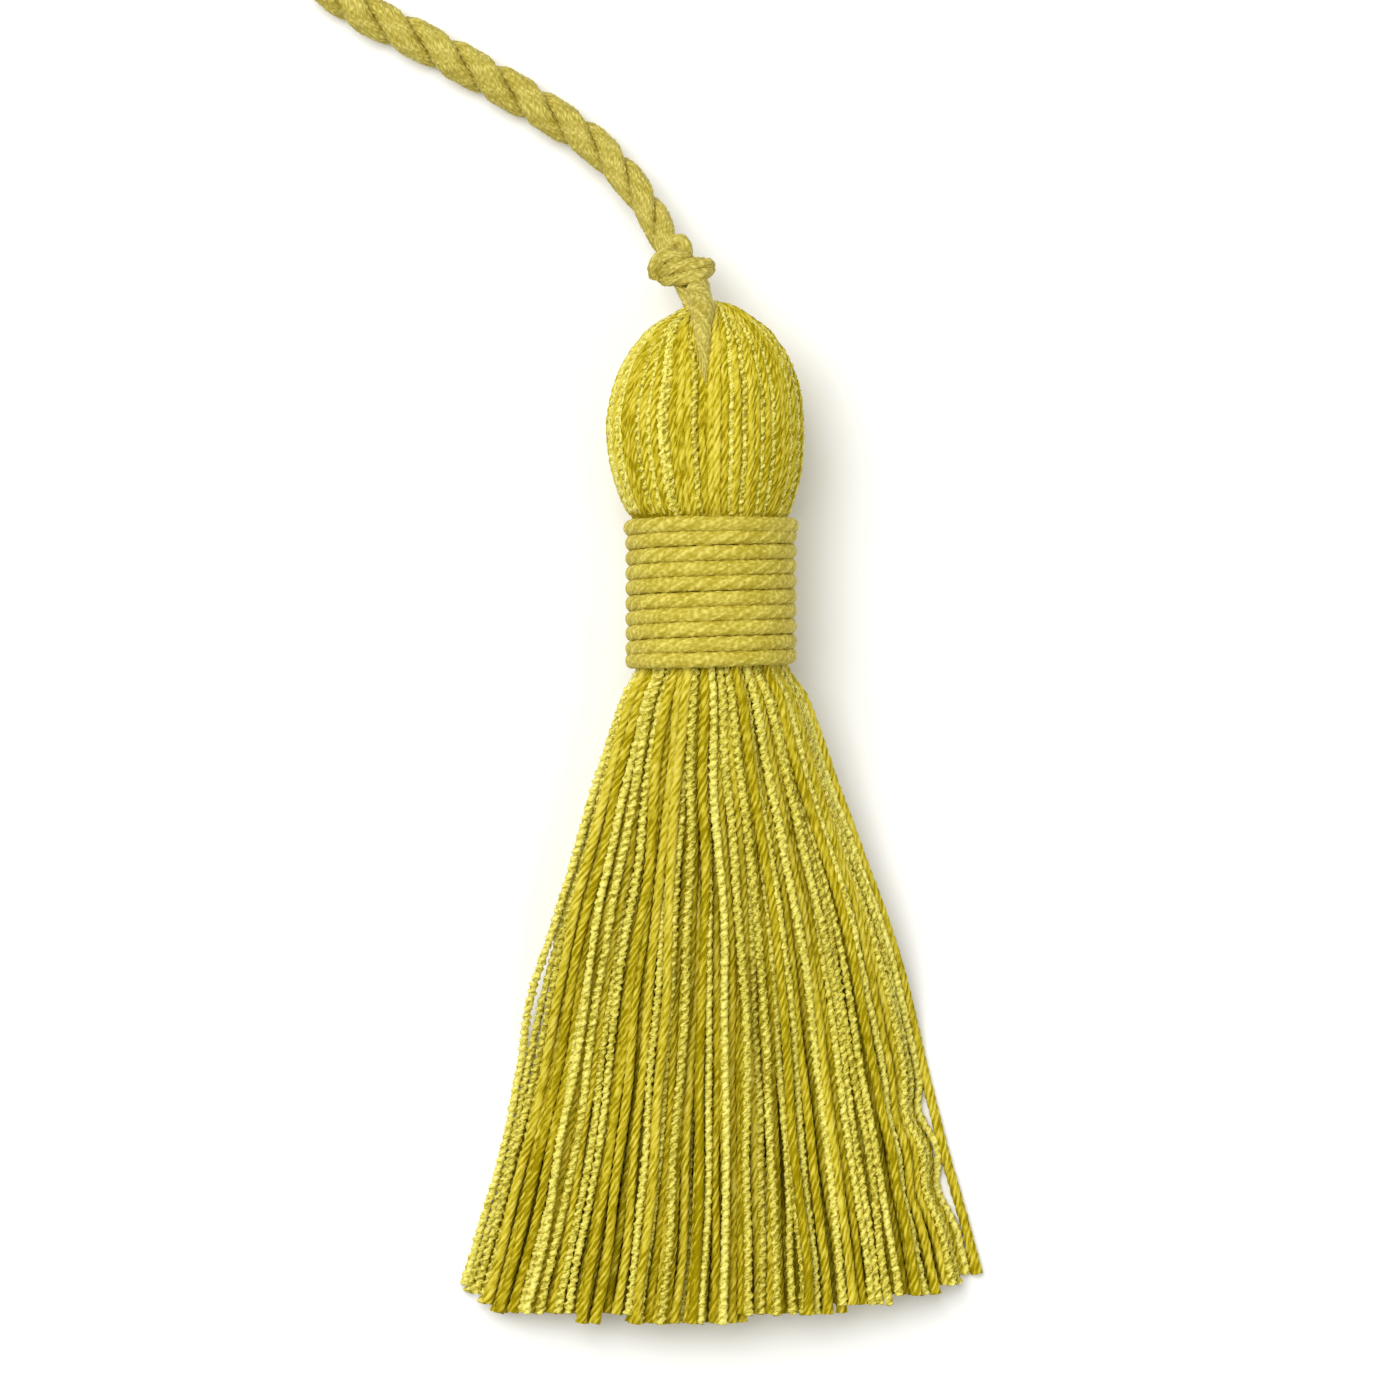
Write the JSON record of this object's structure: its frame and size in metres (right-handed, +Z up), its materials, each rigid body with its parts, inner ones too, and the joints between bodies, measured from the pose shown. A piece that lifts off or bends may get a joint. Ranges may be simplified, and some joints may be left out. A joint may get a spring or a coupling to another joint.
{
  "type": "silk tassel",
  "caption": "Yarn tassel lying on its side: ribbed round head, wound cord binding, spread skirt of loose strands and a knotted, twisted hanging cord that ends in a loop.",
  "frame": {"origin": "bottom centre of the tassel without its hanging cord, on the table it lies on", "axes": "+Y along the tassel from the skirt's ends to the cord, +Z up from the table, X across the skirt's fan"},
  "size_m": [0.0785, 0.1865, 0.0209],
  "materials": {
    "skirt_yarn": "soft lustre",
    "binding_braid": "soft lustre",
    "cord_braid": "matt"
  },
  "bodies": {
    "root": {"head_and_skirt": "skirt_yarn", "binding_cord": "binding_braid", "cord_knot": "cord_braid", "twisted_cord": "cord_braid", "hanging_loop": "cord_braid"}
  },
  "joints": []
}
